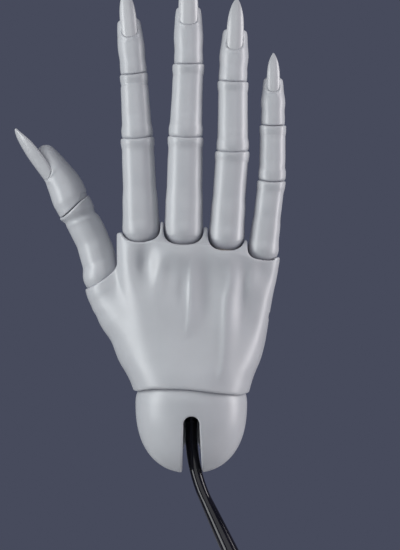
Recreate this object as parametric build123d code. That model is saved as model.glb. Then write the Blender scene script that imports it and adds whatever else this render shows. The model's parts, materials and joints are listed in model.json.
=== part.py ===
"""Ball-jointed right hand in cast resin, strung on elastic cord and carried by a bent stand rod.

Sizes are in millimetres. The model is laid out from the centre of the wrist ball, with the fingers
up (+Z), the back of the hand towards -Y and the thumb towards -X. Everything is then moved so that
the origin is on the stand rod's axis, halfway along its shank.
"""

import os
from dataclasses import dataclass
from math import cos, radians, sin, tan

from build123d import *

# ---------------------------------------------------------------- driving dimensions
JOINT_GAP = 0.15  # between a finger ball and its cup
CORD_R = 1.25  # elastic inside each finger
CHANNEL_R = 2.1  # bore that the cord runs in
CHANNEL_FLARE = 1.2  # how much it widens towards the foot of each ball
RIM_DROP = 3.0  # how far a cup's rim lies below the centre of the ball that sits in it
DEPTH_RATIO = 0.96  # a finger's depth over its width

LINER_T = 0.8  # cup liner between a knuckle ball and the palm
LINER_GAP = 0.1
LINER_HALF_ANGLE = 38
SEAT_HALF_ANGLE = 56  # the liner's pocket is wider, so that the liner can turn sideways with the finger

BALL_X, BALL_Y, BALL_LOW, BALL_HIGH = 26.2, 19.5, 33.0, 19.5  # semi-axes of the wrist ball
BALL_WALL = 4.0  # front and back of the wrist ball's hollow
SLOT_TOP_W, SLOT_END_W = 7.5, 11.0  # width of the wrist slot at its round end and at the ball's foot
SLOT_BACK_Z, SLOT_PALM_Z = -6.8, -19.0  # how high the slot reaches on each side
SLOT_INNER_Y = 11.0  # how far the taller slot runs towards the palm side, inside the ball
BALL_BLUNT = 2.35  # exponent of the wrist ball's lower outline; 2 would be a plain ellipse
CHAMBER_X, CHAMBER_LOW_Z = 10.5, -9.0  # half width of the hollow inside the wrist ball, and its floor

PIVOT_R = 2.0  # steel pin through the wrist ball and the rod's eye
PIVOT_CLEAR = 0.05
EYE_R, EYE_W = 5.2, 7.0
ROD_R = 2.8  # rod inside the ball
ROD_STRAIGHT, ROD_BEND_R, ROD_BEND = 14.2, 54.6, 34.6
ROD_BEND_SIDE = 46.3  # heading of the bend, from the back of the hand towards +X, in degrees
ROD_TAPER_L = 66.0
SHANK_R, SHANK_L, SHANK_CHAMFER = 5.0, 25.8, 0.8

# Top of the shallow arch along the palm's lower edge, where it stands, and its radius.
PALM_RIM_Z, PALM_RIM_X, PALM_RIM_R = 7.6, -4.0, 200.0
CUP_X, CUP_Y, CUP_Z = 27.2, 20.1, 21.6  # hollow in the palm that turns on the wrist ball
BAR_R, BAR_Z = 2.0, 34.0  # anchor bar across the inside of the palm
WRIST_CORD_R = 1.75


@dataclass
class Phalanx:
    """One finger segment, from the centre of its own ball to the next joint or to the fingertip."""

    lean: float  # degrees from vertical, towards +X
    bend: float  # resting flexion against the segment before it, in degrees
    length: float
    ball: float
    base: float
    middle: float
    end: float


@dataclass
class Digit:
    name: str
    centre: tuple  # of the knuckle ball
    roll: float  # turn of the whole digit about its own length
    segments: tuple
    nail_start: float  # from the last ball to the cuticle
    nail_length: float
    nail_half_width: float
    nail_tilt: float = -3  # lift of the nail's free end, in degrees
    notches: tuple = (42, 46)  # flexion that each segment's palm-side notch allows: first segment, others
    rim_slope: float = 28  # fall of the cups' rims on the palm side, in degrees
    rim_tilt: float = 0  # rise of the whole rim towards the palm side, in degrees
    bow: float = 0  # how far the first segment bows towards the palm side


FINGERS = (
    Digit("index", (-23.5, 0.8, 81.5), 0, (
        Phalanx(-2.5, 2, 45.4, 8.8, 8.4, 7.75, 7.95),
        Phalanx(-3.6, 4, 30.6, 7.2, 7.35, 6.8, 6.65),
        Phalanx(-6.0, 3, 27.0, 6.05, 6.2, 6.45, 5.9)), 14.3, 24.4, 4.7),
    Digit("middle", (-3.6, -0.4, 80.6), 0, (
        Phalanx(1.2, 2, 46.6, 9.1, 8.9, 8.5, 8.6),
        Phalanx(2.3, 4, 34.7, 7.8, 7.95, 7.45, 7.6),
        Phalanx(-0.4, 3, 28.5, 6.6, 6.8, 7.0, 6.4)), 15.5, 25.8, 4.9),
    Digit("ring", (16.5, 0.0, 78.3), 0, (
        Phalanx(4.1, 2, 42.2, 8.5, 8.2, 7.9, 8.2),
        Phalanx(0.3, 4, 33.3, 7.4, 7.6, 7.15, 7.4),
        Phalanx(2.8, 3, 25.5, 6.5, 6.7, 6.9, 6.1)), 11.5, 26.6, 4.8),
    Digit("little", (33.8, 0.8, 72.1), 0, (
        Phalanx(7.0, 2, 34.8, 7.3, 6.9, 6.5, 6.75),
        Phalanx(1.2, 4, 26.4, 6.0, 6.4, 6.2, 6.35),
        Phalanx(0.6, 3, 22.5, 5.2, 5.55, 5.8, 5.2)), 12.8, 19.6, 3.7),
)
THUMB = Digit("thumb", (-42.7, 9.0, 59.5), -55, (
    Phalanx(-22.1, 0, 38.75, 8.8, 8.6, 8.3, 8.6),
    Phalanx(-28.0, 0, 29.3, 8.1, 7.9, 7.0, 5.9)), 13.6, 28.7, 4.9,
    nail_tilt=6, notches=(0, 0), rim_slope=0, rim_tilt=14, bow=2.7)
DIGITS = (*FINGERS, THUMB)

NAIL_T = 0.9


# ---------------------------------------------------------------- shared shapes
def yz_prism(points, half_width):
    """A prism along X with its outline in the YZ plane."""
    return extrude(Plane.YZ * Polygon(*points, align=None), half_width, both=True)


def xz_prism(outline, y_from, y_to):
    """A prism along Y between two heights, from an outline drawn in the XZ plane."""
    sketch = Plane(origin=(0, y_from, 0), x_dir=(1, 0, 0), z_dir=(0, -1, 0)) * outline
    return extrude(sketch, y_from - y_to)


def ellipsoid(x, y, z):
    return scale(Sphere(1), by=(x, y, z))


def egg(x, y, low, high):
    """A blunt-bottomed egg: an ellipse above its widest line and a fuller curve below it."""
    lower = []
    for step in range(1, 9):
        height = sin(radians(90 * step / 8))
        lower.append((x * (1 - height**BALL_BLUNT) ** (1 / BALL_BLUNT), -low * height))
    below = Spline((x, 0), *lower, tangents=((0, -1), (-1, 0)))
    above = EllipticalCenterArc((0, 0), x, high, start_angle=0, arc_size=90)
    outline = make_face([above, below, Line((0, -low), (0, high))])
    return scale(revolve(Plane.XZ * outline, Axis.Z), by=(1, y / x, 1))


def oval(half_width, half_depth, squareness, centre_x, centre_y, z):
    """A closed section across the palm: a superellipse, square-shouldered above an exponent of 2."""
    points = []
    for step in range(16):
        angle = radians(step * 22.5)
        c, s = cos(angle), sin(angle)
        x = abs(c) ** (2 / squareness) * half_width * (1 if c >= 0 else -1)
        y = abs(s) ** (2 / squareness) * half_depth * (1 if s >= 0 else -1)
        points.append((centre_x + x, centre_y + y, z))
    return make_face(Spline(*points, periodic=True))


def capsule(start, end, radius):
    """A round bar between two points."""
    line = Line(start, end)
    return sweep(Plane(origin=start, z_dir=line % 0) * Circle(radius), path=line)


# ---------------------------------------------------------------- digits
def joint_frames(digit):
    """The resting frame of each segment: origin at its ball, +Z along it, -Y towards its back."""
    frames = []
    point = Vector(*digit.centre)
    bend = 0
    for segment in digit.segments:
        bend += segment.bend
        turn = Rot(0, segment.lean, 0) * Rot(0, 0, digit.roll) * Rot(-bend, 0, 0)
        frame = Pos(*point) * turn
        frames.append(frame)
        point = (frame * Pos(0, 0, segment.length)).position
    return frames


def shaft(segment, top, bow):
    """The waisted stem of a segment, from inside its ball to the given height."""
    stations = (
        (0.0, 0.93 * segment.ball, 0),
        (0.42 * segment.ball, segment.base, 0.5 * bow),
        (0.5 * top, segment.middle, bow),
        (top, segment.end, 0),
    )
    rings = [
        Pos(0, y, z) * Ellipse(r, r * DEPTH_RATIO)
        for z, r, y in stations
    ]
    return loft(rings)


def with_ball(stem, segment, notch):
    """Cuts the palm-side notch out of a stem, adds its ball and opens the cord's way through both."""
    reach = 2 * segment.ball
    stem -= yz_prism([(0, 0), (reach, reach * tan(radians(notch))), (reach, -reach), (0, -reach)], reach)
    body = stem + Sphere(segment.ball)
    half = segment.ball + 1
    body -= Pos(0, half / 2, -half / 2) * Box(2 * CHANNEL_R, half, half)
    return body - Pos(0, 0, -half / 2) * Cone(CHANNEL_R + CHANNEL_FLARE, CHANNEL_R, half)


def socket_cut(digit, ball):
    """What is cleared above a cup's rim, about the centre of the ball that sits in the cup."""
    reach = 3 * ball
    outline = [
        (-reach, -RIM_DROP),
        (0.5, -RIM_DROP),
        (reach, -RIM_DROP - reach * tan(radians(digit.rim_slope))),
        (reach, reach),
        (-reach, reach),
    ]
    return Rot(digit.rim_tilt, 0, 0) * yz_prism(outline, reach) + Sphere(ball + JOINT_GAP)


def link_segment(digit, index):
    """A segment with a ball at its foot and a cup for the next ball at its head."""
    segment = digit.segments[index]
    following = digit.segments[index + 1]
    stem = shaft(segment, segment.length - 1, digit.bow if index == 0 else 0)
    body = with_ball(stem, segment, digit.notches[min(index, 1)])
    turn = joint_frames(digit)[index].inverse() * joint_frames(digit)[index + 1]
    body -= turn * socket_cut(digit, following.ball)
    return body - Pos(0, 0, segment.length / 2) * Cylinder(CHANNEL_R, segment.length)


def nail_outline(digit):
    """The almond outline of a nail, seen from the back of the finger, from cuticle to tip."""
    w, length = digit.nail_half_width, digit.nail_length
    side = Spline((w, 3.2), (w * 0.97, 0.45 * length), (w * 0.55, 0.86 * length), (0, length),
                  tangents=((0.15, 1), (-1, 0.15)))
    cuticle = ThreePointArc((-w, 3.2), (0, 0), (w, 3.2))
    return make_face([side, mirror(side, Plane.YZ), cuticle])


def nail_solids(digit):
    """(nail, space to clear for it) in the frame of the last segment."""
    segment = digit.segments[-1]
    curve_r = 1.18 * digit.nail_half_width
    reach = 3 * digit.nail_length
    place = Pos(0, curve_r - 0.93 * segment.end, digit.nail_start) * Rot(digit.nail_tilt, 0, 0)
    blank = xz_prism(nail_outline(digit), -curve_r - 6, 0)
    above = blank - Cylinder(curve_r - NAIL_T, reach)
    plate = above & Cylinder(curve_r, reach)
    return place * plate, place * above


def tip_segment(digit):
    """The fingertip: ball, padded tip, bed for the nail and the pocket for the cord's anchor."""
    segment = digit.segments[-1]
    length = segment.length
    tip_r = 0.52 * segment.end
    stations = (
        # height, half width, depth over width, how far the middle lies towards the pad
        (0.0, 0.93 * segment.ball, 0.96, 0.0),
        (0.42 * segment.ball, segment.base, 0.96, 0.0),
        (0.36 * length, segment.middle, 0.94, 0.1),
        (0.62 * length, segment.end, 0.9, 0.3),
        (0.84 * length, 0.86 * segment.end, 0.84, 0.6),
        (length - tip_r, 1.04 * tip_r, 0.98, 0.9),
    )
    stem = loft([Pos(0, y, z) * Ellipse(r, r * ratio) for z, r, ratio, y in stations])
    stem += Pos(0, 0.9, length - tip_r) * Sphere(tip_r)
    body = with_ball(stem, segment, digit.notches[1])
    body -= nail_solids(digit)[1]
    body -= Pos(0, 0, ANCHOR_Z / 2) * Cylinder(CHANNEL_R, ANCHOR_Z)
    body -= Pos(0, 0, ANCHOR_Z) * Rot(0, 90, 0) * Cylinder(ANCHOR_POCKET_R, 2.2 * CORD_R)
    return body - Pos(0, 0, ANCHOR_Z) * Rot(0, 90, 0) * Cylinder(ANCHOR_R + 0.02, ANCHOR_L)


ANCHOR_Z = 8.0  # anchor pin, above the fingertip's ball
ANCHOR_R, ANCHOR_L = 0.9, 7.0
ANCHOR_POCKET_R = 3.9
KNOT_R = 2.7
WASHER_R, WASHER_T = 4.2, 1.0
FLOOR_T = 4.0  # resin between a knuckle cup and its washer


def cup_radius(digit):
    """The palm's cup for a knuckle ball, with room for the liner."""
    return digit.segments[0].ball + 2 * LINER_GAP + LINER_T


def seat_depth(digit):
    """From the knuckle's centre down to the face that its washer bears on."""
    return cup_radius(digit) + FLOOR_T


def cord(digit):
    """The elastic of one digit: knot in the palm, straight through each ball, ring on the anchor pin."""
    frames = joint_frames(digit)
    knot = (frames[0] * Pos(0, 0, -seat_depth(digit) - WASHER_T - KNOT_R + 0.4)).position
    ring_r = ANCHOR_R + CORD_R + 0.1
    end = (frames[-1] * Pos(0, 0, ANCHOR_Z - ring_r)).position
    points = [knot, *[frame.position for frame in frames], end]
    body = Pos(*knot) * Sphere(KNOT_R)
    for start, stop in zip(points, points[1:]):
        body += capsule(start, stop, CORD_R)
        body += Pos(*stop) * Sphere(CORD_R)
    ring = Rot(0, 90, 0) * Torus(ring_r, CORD_R)
    return body + frames[-1] * Pos(0, 0, ANCHOR_Z) * ring


def liner(digit):
    """A spherical cup washer under a knuckle ball."""
    outer = cup_radius(digit) - LINER_GAP
    shell = Sphere(outer) - Sphere(outer - LINER_T)
    reach = 2 * outer
    side = reach * tan(radians(LINER_HALF_ANGLE))
    cone = Pos(0, 0, -reach / 2) * Cone(side, 0, reach)
    shell = (shell & cone) - Pos(0, 0, -outer) * Cylinder(CHANNEL_R + 0.3, 2 * outer)
    return joint_frames(digit)[0] * shell


def washer(digit):
    ring = Cylinder(WASHER_R, WASHER_T) - Cylinder(CORD_R + 0.15, 2 * WASHER_T)
    return joint_frames(digit)[0] * Pos(0, 0, -seat_depth(digit) - WASHER_T / 2) * ring


# ---------------------------------------------------------------- palm
def palm_blank():
    """The palm between wrist and knuckles, before anything is cut from it."""
    sections = (
        # half width, half depth, squareness, centre x, centre y, z
        (27.4, 21.0, 2.05, -0.1, 0.0, 2.0),
        (29.3, 20.4, 2.1, -0.1, 0.3, 12.5),
        (32.2, 18.8, 2.2, 0.0, 0.8, 21.0),
        (34.6, 16.6, 2.35, 0.2, 1.2, 32.0),
        (36.1, 14.6, 2.5, 1.0, 1.2, 44.0),
        (37.3, 12.8, 2.6, 2.3, 1.0, 57.0),
        (38.4, 11.3, 2.7, 3.4, 0.8, 70.0),
        (38.6, 10.3, 2.8, 3.5, 0.6, 86.0),
    )
    return loft([oval(*section) for section in sections])


def thenar_blank():
    """The muscle of the thumb, from the thumb's cup down into the heel of the palm."""
    frame = joint_frames(THUMB)[0]
    rim = THUMB.segments[0].ball + 0.5
    rings = [
        frame * Pos(0, 0, 6) * Circle(rim),
        frame * Pos(0, 0, -RIM_DROP) * Circle(rim),
        Plane(origin=(-32.6, 9.0, 42.0), z_dir=(-0.42, 0.0, 0.9)) * Ellipse(11.2, 11.0),
        Plane(origin=(-22.0, 7.0, 25.0), z_dir=(-0.5, 0.1, 0.85)) * Ellipse(12.5, 12.5),
        Plane(origin=(-14.0, 4.0, 12.5), z_dir=(-0.45, 0.1, 0.88)) * Ellipse(11.0, 11.0),
    ]
    return loft(rings)


# Height of the palm's edge beside each knuckle: outer ear, webs between the fingers, outer ear.
WEB_X = (-40.0, -13.7, 6.9, 25.7, 50.0)
EDGE_Z = (80.5, 84.5, 82.0, 77.0, 68.0)
BACK_EDGE_Z = (80.5, 79.0, 76.0, 72.0, 67.0)  # the same at the back of the hand, down to this depth
BACK_EDGE_Y = -6.0
KNUCKLE_DROP = (6.0, 6.0, 6.4, 4.8)  # from a ball's centre down to the palm's edge at the back of it


def above_webs(heights, y_from, y_to):
    """Everything above the palm's upper edge, between two depths."""
    left, first, second, third, right = heights
    peaks = Polyline((-60, left), (-30.5, left), (WEB_X[1], first), (WEB_X[2], second), (WEB_X[3], third),
                     (40.5, right), (60, right), (60, 110), (-60, 110), close=True)
    return xz_prism(make_face(peaks), y_from, y_to)


def knuckle_edge():
    """What is cut away above the palm: webs that step up towards mid-depth, and a dip for each finger."""
    cut = above_webs(EDGE_Z, -40, 40) + above_webs(BACK_EDGE_Z, -40, BACK_EDGE_Y)
    for finger, drop in zip(FINGERS, KNUCKLE_DROP):
        x, _, z = finger.centre
        half = finger.segments[0].ball + 0.3
        recess = Pos(x, z - drop + 30) * RectangleRounded(2 * half, 60, 0.6 * half)
        cut += xz_prism(recess, -40, 40)
    return cut


def digit_bore(digit):
    """The cup, liner seat, cord channel and washer pocket that the palm holds for one digit."""
    ball = digit.segments[0].ball
    deep = seat_depth(digit)
    pocket = 14 if digit is THUMB else max(digit.centre[2] - deep - CAVITY_TOP + 1, 8)
    reach = 2 * ball
    side = reach * tan(radians(SEAT_HALF_ANGLE))
    seat = Sphere(cup_radius(digit)) & Pos(0, 0, -reach / 2) * Cone(side, 0, reach)
    cut = Sphere(ball + 0.2) + seat
    cut += Pos(0, 0, -deep / 2) * Cylinder(CHANNEL_R, deep)
    cut += Pos(0, 0, -deep - pocket / 2) * Cylinder(WASHER_R + 0.3, pocket)
    return joint_frames(digit)[0] * cut


CAVITY_TOP, CAVITY_LOW = 58.0, 24.0


def palm_shell():
    body = palm_blank()
    body -= knuckle_edge()
    thumb_frame = joint_frames(THUMB)[0]
    reach = 60
    above_rim = thumb_frame * Pos(0, 0, reach / 2 - RIM_DROP) * Cylinder(THUMB.segments[0].ball + 0.9, reach)
    body = body + (thenar_blank() - thumb_frame * Pos(0, 0, 30 - RIM_DROP) * Cylinder(30, 60))
    body -= above_rim
    body -= Pos(PALM_RIM_X, 0, PALM_RIM_Z - PALM_RIM_R) * Rot(90, 0, 0) * Cylinder(PALM_RIM_R, 100)
    body -= ellipsoid(CUP_X, CUP_Y, CUP_Z)
    cavity = loft([
        oval(13.0, 10.0, 2.4, 0.0, 0.8, CAVITY_LOW),
        oval(14.5, 9.0, 2.6, 0.5, 0.8, 40.0),
        oval(15.0, 7.5, 2.8, 1.5, 0.4, CAVITY_TOP),
    ])
    body -= cavity
    body -= Pos(0, 0, CAVITY_LOW - 3) * Cylinder(9.5, 12)
    for digit in DIGITS:
        body -= digit_bore(digit)
    for start, stop in PASSAGES:
        body -= capsule(start, stop, 4.0)
    return body - Pos(0.5, 0, BAR_Z) * Rot(0, 90, 0) * Cylinder(BAR_R + 0.02, BAR_L)


BAR_L = 44.0
# From the washer pockets of the thumb, index and little finger to the cavity.
PASSAGES = (
    ((-34.2, 8.9, 38.0), (-10.0, 3.0, 36.0)),
    ((-22.9, 0.8, 61.5), (-9.0, 0.8, 51.0)),
    ((31.6, 0.8, 54.5), (11.0, 0.8, 46.0)),
)


# ---------------------------------------------------------------- wrist and stand
def slot_outline(top_z):
    """The wrist slot seen from the back of the hand: round at the top and wider towards the foot."""
    r = SLOT_TOP_W / 2
    foot = -BALL_LOW - 4
    arc = ThreePointArc((-r, top_z - r), (0, top_z), (r, top_z - r))
    sides = Polyline((r, top_z - r), (SLOT_END_W / 2, foot), (-SLOT_END_W / 2, foot), (-r, top_z - r))
    return make_face([arc, sides])


def wrist_ball():
    body = egg(BALL_X, BALL_Y, BALL_LOW, BALL_HIGH)
    hollow = egg(BALL_X - BALL_WALL, BALL_Y - BALL_WALL, BALL_LOW - BALL_WALL, BALL_HIGH - BALL_WALL)
    body -= hollow & Pos(0, 0, CHAMBER_LOW_Z + 50) * Box(2 * CHAMBER_X, 100, 100)
    body -= xz_prism(slot_outline(SLOT_BACK_Z), -40, SLOT_INNER_Y)
    body -= xz_prism(slot_outline(SLOT_PALM_Z), 0, 40)
    body -= Pos(0, 0, BALL_HIGH) * Cylinder(10.5, 14)
    bore_l = PIN_END[1] - PIN_END[0]
    body -= Pos(sum(PIN_END) / 2, 0, 0) * Rot(0, 90, 0) * Cylinder(PIVOT_R + 0.02, bore_l)
    return body - Pos(PIN_END[1] + 5, 0, 0) * Rot(0, 90, 0) * Cylinder(PLUG_R + 0.02, 10)


PIN_END = (-24.4, 24.0)
PLUG_R = 3.2


def pivot_plug():
    """The flush plug that closes the pivot pin's bore."""
    bar = Pos(PIN_END[1] + 5, 0, 0) * Rot(0, 90, 0) * Cylinder(PLUG_R, 10)
    return bar & ellipsoid(BALL_X, BALL_Y, BALL_HIGH)


def rod_line():
    """(end of the bend, direction after it) of the stand rod."""
    side = radians(ROD_BEND_SIDE)
    turn = radians(ROD_BEND)
    across = Vector(sin(side), -cos(side), 0)
    down = Vector(0, 0, -1)
    end = down * (ROD_STRAIGHT + ROD_BEND_R * sin(turn)) + across * (ROD_BEND_R * (1 - cos(turn)))
    return end, down * cos(turn) + across * sin(turn)


def stand_rod():
    """Forged eye, straight neck, long bend, taper and shank, in one piece."""
    end, heading = rod_line()
    start = Vector(0, 0, -ROD_STRAIGHT)
    side = radians(ROD_BEND_SIDE)
    half = radians(ROD_BEND / 2)
    across = Vector(sin(side), -cos(side), 0)
    mid = start + Vector(0, 0, -1) * (ROD_BEND_R * sin(half)) + across * (ROD_BEND_R * (1 - cos(half)))
    path = Line((0, 0, 0), start) + ThreePointArc(start, mid, end)
    neck = sweep(Plane.XY * Circle(ROD_R), path=path)
    along = Plane(origin=end, z_dir=heading)
    taper = along * Pos(0, 0, ROD_TAPER_L / 2) * Cone(ROD_R, SHANK_R, ROD_TAPER_L)
    shank = Cylinder(SHANK_R, SHANK_L)
    shank = chamfer(shank.edges().sort_by(Axis.Z)[-1], SHANK_CHAMFER)
    shank = along * Pos(0, 0, ROD_TAPER_L + SHANK_L / 2) * shank
    eye = Rot(0, 90, 0) * Cylinder(EYE_R, EYE_W)
    body = neck + taper + shank + eye
    return body - Rot(0, 90, 0) * Cylinder(PIVOT_R + PIVOT_CLEAR, 3 * EYE_W)


def wrist_cord_loop(x):
    """One elastic loop between the pivot pin and the palm's anchor bar."""
    turn_r = BAR_R + WRIST_CORD_R + 0.1
    path = Plane.YZ.offset(x) * (
        Line((turn_r, 0), (turn_r, BAR_Z))
        + ThreePointArc((turn_r, BAR_Z), (0, BAR_Z + turn_r), (-turn_r, BAR_Z))
        + Line((-turn_r, BAR_Z), (-turn_r, 0))
        + ThreePointArc((-turn_r, 0), (0, -turn_r), (turn_r, 0))
    )
    return sweep(Plane(origin=(x, turn_r, 0), z_dir=(0, 0, 1)) * Circle(WRIST_CORD_R), path=path)


# ---------------------------------------------------------------- assembly
def shank_middle():
    """Halfway along the shank's full-width wall, which becomes the model's origin."""
    end, heading = rod_line()
    return end + heading * (ROD_TAPER_L + (SHANK_L - SHANK_CHAMFER) / 2)


def build():
    """Every node, laid out from the wrist."""
    nodes = {
        "stand_rod": stand_rod(),
        "wrist_ball": wrist_ball(),
        "pivot_pin": Pos(sum(PIN_END) / 2, 0, 0) * Rot(0, 90, 0) * Cylinder(PIVOT_R, PIN_END[1] - PIN_END[0]),
        "pivot_plug": pivot_plug(),
        "wrist_elastic": wrist_cord_loop(-6.2) + wrist_cord_loop(6.2),
        "palm_shell": palm_shell(),
        "palm_anchor_bar": Pos(0.5, 0, BAR_Z) * Rot(0, 90, 0) * Cylinder(BAR_R, BAR_L),
        "cord_washers": Part() + [washer(digit) for digit in DIGITS],
    }
    for digit in DIGITS:
        frames = joint_frames(digit)
        names = ("proximal", "medial", "distal") if len(frames) == 3 else ("proximal", "distal")
        for index, name in enumerate(names[:-1]):
            nodes[f"{digit.name}_{name}"] = frames[index] * link_segment(digit, index)
        nodes[f"{digit.name}_distal"] = frames[-1] * tip_segment(digit)
        nodes[f"{digit.name}_nail"] = frames[-1] * nail_solids(digit)[0]
        pin = Rot(0, 90, 0) * Cylinder(ANCHOR_R, ANCHOR_L)
        nodes[f"{digit.name}_anchor_pin"] = frames[-1] * Pos(0, 0, ANCHOR_Z) * pin
        nodes[f"{digit.name}_cord"] = cord(digit)
        nodes[f"{digit.name}_liner"] = liner(digit)
    return nodes


if __name__ == "__main__":
    os.makedirs("parts", exist_ok=True)
    shift = Pos(*(shank_middle() * -1))
    for name, shape in build().items():
        export_step(shift * shape, f"parts/{name}.step")
        print(name, round(shape.volume))
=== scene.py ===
"""Looks for the ball-jointed hand: resin segments, nails, cords and the rod, built over the CAD frame.

Shapes are worked out in millimetres from the centre of the wrist ball (+Z to the fingertips, -Y the back
of the hand, -X the thumb side) as fields that are negative inside the solid. Each field is turned into a
mesh and placed in the frame, in metres.
"""

import json
from math import cos, pi, radians, sin, tan

import bpy
import numpy as np
from mathutils import Matrix, Vector


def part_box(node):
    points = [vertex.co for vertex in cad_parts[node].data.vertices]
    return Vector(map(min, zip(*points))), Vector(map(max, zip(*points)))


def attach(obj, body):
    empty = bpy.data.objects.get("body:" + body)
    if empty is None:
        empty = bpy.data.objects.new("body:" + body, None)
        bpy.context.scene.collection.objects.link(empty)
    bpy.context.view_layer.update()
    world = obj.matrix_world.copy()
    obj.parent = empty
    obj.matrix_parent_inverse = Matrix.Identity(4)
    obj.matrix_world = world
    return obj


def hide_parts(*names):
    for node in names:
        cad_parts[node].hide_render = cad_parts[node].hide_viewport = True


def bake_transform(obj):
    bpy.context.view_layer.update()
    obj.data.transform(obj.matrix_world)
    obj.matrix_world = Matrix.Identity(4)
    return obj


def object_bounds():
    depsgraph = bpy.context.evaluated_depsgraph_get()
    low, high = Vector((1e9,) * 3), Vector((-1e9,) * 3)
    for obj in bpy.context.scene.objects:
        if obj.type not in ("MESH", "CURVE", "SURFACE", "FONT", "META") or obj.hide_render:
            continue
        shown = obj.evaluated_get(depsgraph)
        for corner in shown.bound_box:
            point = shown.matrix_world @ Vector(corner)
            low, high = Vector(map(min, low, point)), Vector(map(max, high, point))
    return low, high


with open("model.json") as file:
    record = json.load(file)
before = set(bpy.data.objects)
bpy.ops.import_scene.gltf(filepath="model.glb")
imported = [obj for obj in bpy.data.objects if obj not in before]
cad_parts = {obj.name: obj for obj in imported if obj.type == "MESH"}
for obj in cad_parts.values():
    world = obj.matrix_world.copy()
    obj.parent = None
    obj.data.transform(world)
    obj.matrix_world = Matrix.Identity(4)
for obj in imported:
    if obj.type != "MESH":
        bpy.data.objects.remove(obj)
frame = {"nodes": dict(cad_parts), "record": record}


def plain_box():
    """The shown model's box as plain lists, lowest corner first."""
    return [[float(value) for value in corner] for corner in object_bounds()]


CAD_BOX = plain_box()
PIN_LOW, PIN_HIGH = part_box("pivot_pin")
WRIST = np.array((PIN_LOW + PIN_HIGH) / 2) * 1000 + (0.2, 0, 0)  # wrist centre in the frame, in mm

# ---------------------------------------------------------------- driving sizes, in mm
RIM_DROP = 3.0  # a cup's rim lies this far below the centre of the ball in it
SEAM = 0.38  # between a segment's foot and the rim below it
JOINT_GAP = 0.22  # between a ball and its cup
CHANNEL_R, CORD_R = 2.1, 1.25
DEPTH_RATIO = 0.96  # of a segment's depth to its width
ANCHOR_Z, ANCHOR_R = 8.0, 0.9
NAIL_T = 1.25
THUMB_NAIL = (13.6, 28.4, 4.9)
TIP_OVERRUN = 1.5  # how far a finger's flesh runs on under its nail

# Name, knuckle centre, roll, segments as (lean, bend, length, ball, base, middle, end),
# and the nail as (start, length, half width).
DIGITS = (
    ("index", (-23.5, 0.8, 81.5), 0, (
        (-2.5, 2, 45.4, 8.8, 8.7, 7.75, 7.95),
        (-3.6, 4, 30.6, 7.2, 7.3, 6.65, 6.65),
        (-6.0, 3, 27.0, 6.05, 6.2, 6.4, 6.0)), (14.3, 24.4, 4.0)),
    ("middle", (-3.6, -0.4, 80.6), 0, (
        (1.2, 2, 46.6, 9.1, 9.15, 8.35, 8.45),
        (2.3, 4, 34.7, 7.8, 7.95, 7.25, 7.55),
        (-0.4, 3, 28.5, 6.6, 6.8, 6.95, 6.5)), (15.5, 25.8, 4.7)),
    ("ring", (16.5, 0.0, 78.3), 0, (
        (4.1, 2, 42.2, 8.5, 8.4, 7.7, 8.15),
        (0.3, 4, 33.3, 7.4, 7.55, 7.0, 7.35),
        (2.8, 3, 25.5, 6.5, 6.7, 6.9, 6.3)), (11.5, 26.6, 4.1)),
    ("little", (33.8, 0.8, 72.1), 0, (
        (7.0, 2, 34.8, 7.3, 7.05, 6.35, 6.75),
        (1.2, 4, 26.4, 6.0, 6.4, 6.05, 6.3),
        (0.6, 3, 22.5, 5.2, 5.6, 5.8, 5.1)), (12.8, 19.6, 3.1)),
    ("thumb", (-42.7, 9.0, 59.5), -55, (
        (-22.1, 0, 38.75, 8.8, 8.75, 8.3, 8.85),
        (-28.0, 0, 29.3, 8.1, 8.2, 7.0, 6.2)), THUMB_NAIL),
)
# How the cups' rims run: fall on the palm side and rise of the whole rim towards it, in degrees.
FINGER_RIM, THUMB_RIM = (28, 0), (0, 14)
# Flexion that the palm-side notches leave room for: first segment, others.
FINGER_NOTCHES, THUMB_NOTCHES = (43, 47), (0, 0)
# How far the thumb's first segment bows towards the palm side, from its ball to its cup.
BOW_KNOTS, BOW = (0, 4, 7.5, 17, 25, 32, 38), (0.1, 0.9, 2.0, 2.7, 2.1, 0.6, 0)
# Height of the thumb nail's ridge above the segment's middle line, from cuticle to tip.
THUMB_NAIL_KNOTS = (-2, 0, 8, 15.4, 21.8, 27.5, 28.7)
THUMB_NAIL_TOP = (-6.3, -6.6, -8.0, -9.1, -9.5, -9.1, -8.8)
# Below a rim: how much narrower the neck is, how tall the lip is, how far down the neck lies.
FINGER_LIP, THUMB_LIP = (0.42, 1.8, 5.0), (0.95, 3.2, 6.4)
# A segment's depth along it, as a share of the full depth: it dips above the bulb and below the lip.
DIPS = (1, 1, 0.955, 0.98, 0.945, 1, 1)
# How far each knuckle's scallop reaches below the centre of its ball.
KNUCKLE_DROP = {"index": 6.0, "middle": 6.6, "ring": 7.0, "little": 5.0}
# The palm's upper edge across, from the thumb side: its height towards the palm side, then at the back.
EDGE_X = (-60, -33.5, -24, -13.7, -4, 6.9, 16, 25.7, 33, 40.5, 60)
EDGE_Z = (80.3, 80.3, 82.5, 85.0, 83.8, 82.3, 79.5, 76.5, 72.5, 69.0, 69.0)
BACK_EDGE_Z = (80.3, 80.3, 76.8, 75.9, 75.2, 74.5, 72.6, 69.8, 67.6, 69.0, 69.0)

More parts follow.
